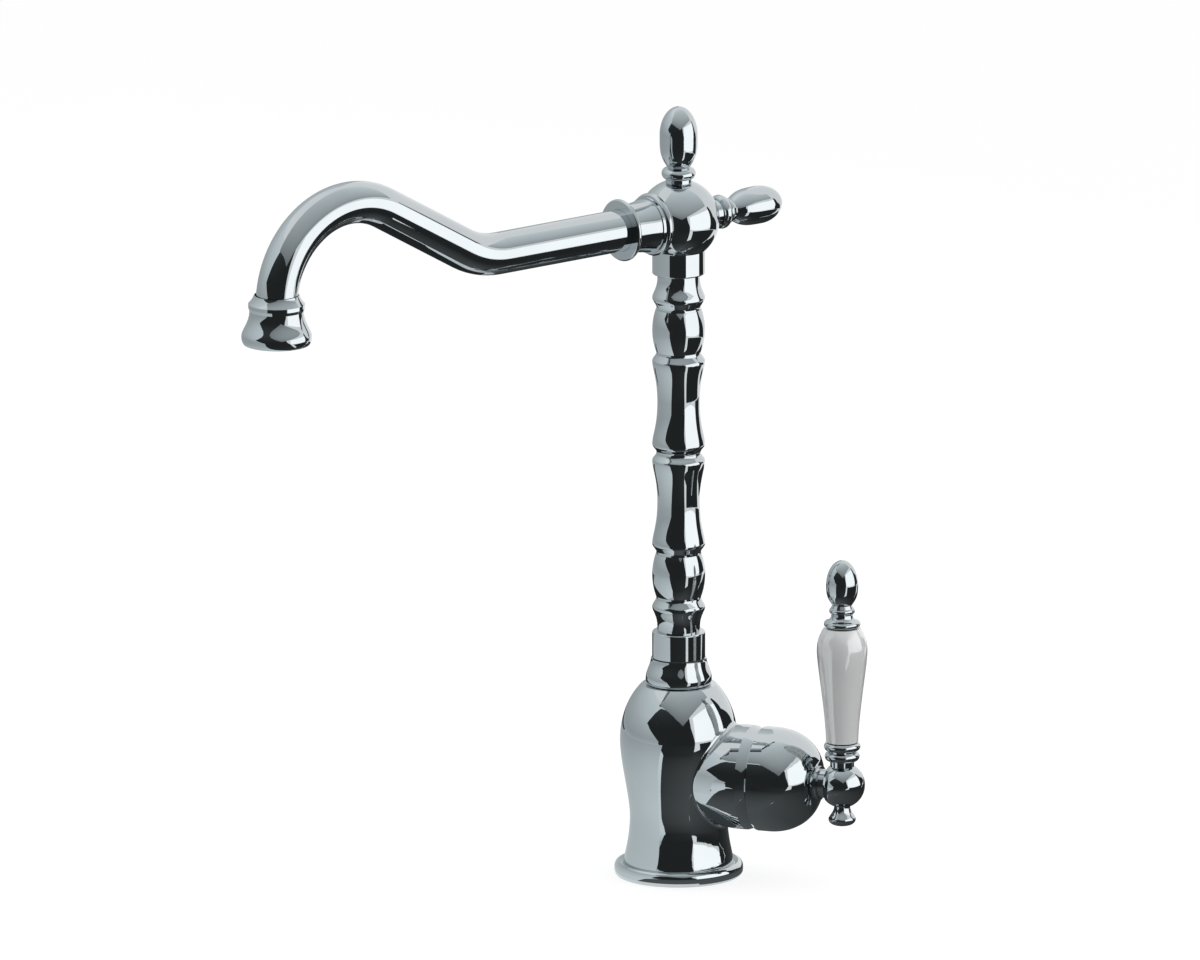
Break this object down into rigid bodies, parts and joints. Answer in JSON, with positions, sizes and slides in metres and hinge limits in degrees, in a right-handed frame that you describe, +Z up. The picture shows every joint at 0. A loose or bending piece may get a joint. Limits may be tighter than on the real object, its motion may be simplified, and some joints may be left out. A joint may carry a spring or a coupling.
{
  "type": "kitchen faucet",
  "caption": "Deck-mounted kitchen mixer with a bell body, side lever with a porcelain handle, turned column and a swivel gooseneck spout with an aerator.",
  "frame": {"origin": "on the column axis in the plane of the deck, at the mouth of the fixing stud's thread", "axes": "+Z up the column, +X along the lever boss; the spout rests 31.3 degrees from -Y towards -X"},
  "size_m": [0.2128, 0.249, 0.3343],
  "materials": {
    "chrome": "polished",
    "porcelain": "gloss",
    "disc_ceramic": "lapped",
    "brass": "turned",
    "steel": "satin",
    "plastic": "satin",
    "aerator": "satin",
    "rubber": "matte"
  },
  "bodies": {
    "mixer": {"mixer_body": "chrome", "base_ring": "chrome", "base_seal": "rubber", "neck_collar": "chrome", "swivel_bush": "plastic", "cartridge_base": "plastic", "port_seals": "rubber", "cartridge_housing": "plastic", "fixed_disc": "disc_ceramic", "cartridge_nut": "brass"},
    "turret": {"stem_turret": "plastic", "pivot_pin": "steel", "cartridge_cover": "plastic"},
    "disc": {"moving_disc": "disc_ceramic", "disc_carrier": "plastic"},
    "lever": {"cartridge_stem": "brass", "lever_dome": "chrome", "dome_grub_screw": "steel", "lever_neck": "chrome", "lever_ball": "chrome", "bottom_finial": "chrome", "lever_ferrule": "chrome", "lower_cushion": "rubber", "porcelain_handle": "porcelain", "upper_cushion": "rubber", "handle_cap": "chrome", "handle_finial": "chrome", "handle_rod": "steel"},
    "spout": {"swivel_spigot": "chrome", "spigot_o_rings": "rubber", "spigot_clip": "steel", "column": "chrome", "column_o_rings": "rubber", "head_ball": "chrome", "top_finial": "chrome", "rear_finial": "chrome", "spout_collar": "chrome", "spout_seal": "rubber", "spout_tube": "chrome", "outlet_bell": "chrome", "aerator_seal": "rubber", "aerator_body": "aerator", "aerator_screen": "aerator"}
  },
  "joints": [
    {"name": "spout_swivel", "type": "hinge", "parent": "mixer", "child": "spout", "pos_m": [0, 0, 0.0948], "axis": [0, 0, 1], "continuous": true},
    {"name": "temperature_turn", "type": "hinge", "parent": "mixer", "child": "turret", "pos_m": [0, 0, 0.0447], "axis": [1, 0, 0], "range_deg": [-50, 50]},
    {"name": "flow_tilt", "type": "hinge", "parent": "turret", "child": "lever", "pos_m": [0.0265, 0, 0.0447], "axis": [0, 1, 0], "range_deg": [0, 25]},
    {"name": "disc_slide", "type": "slide", "parent": "turret", "child": "disc", "axis": [0, 0, 1], "range_m": [0, 0.00284]}
  ],
  "couplings": [
    {"joint": "disc_slide", "follows": "flow_tilt", "m_per_rad": 0.0065}
  ]
}
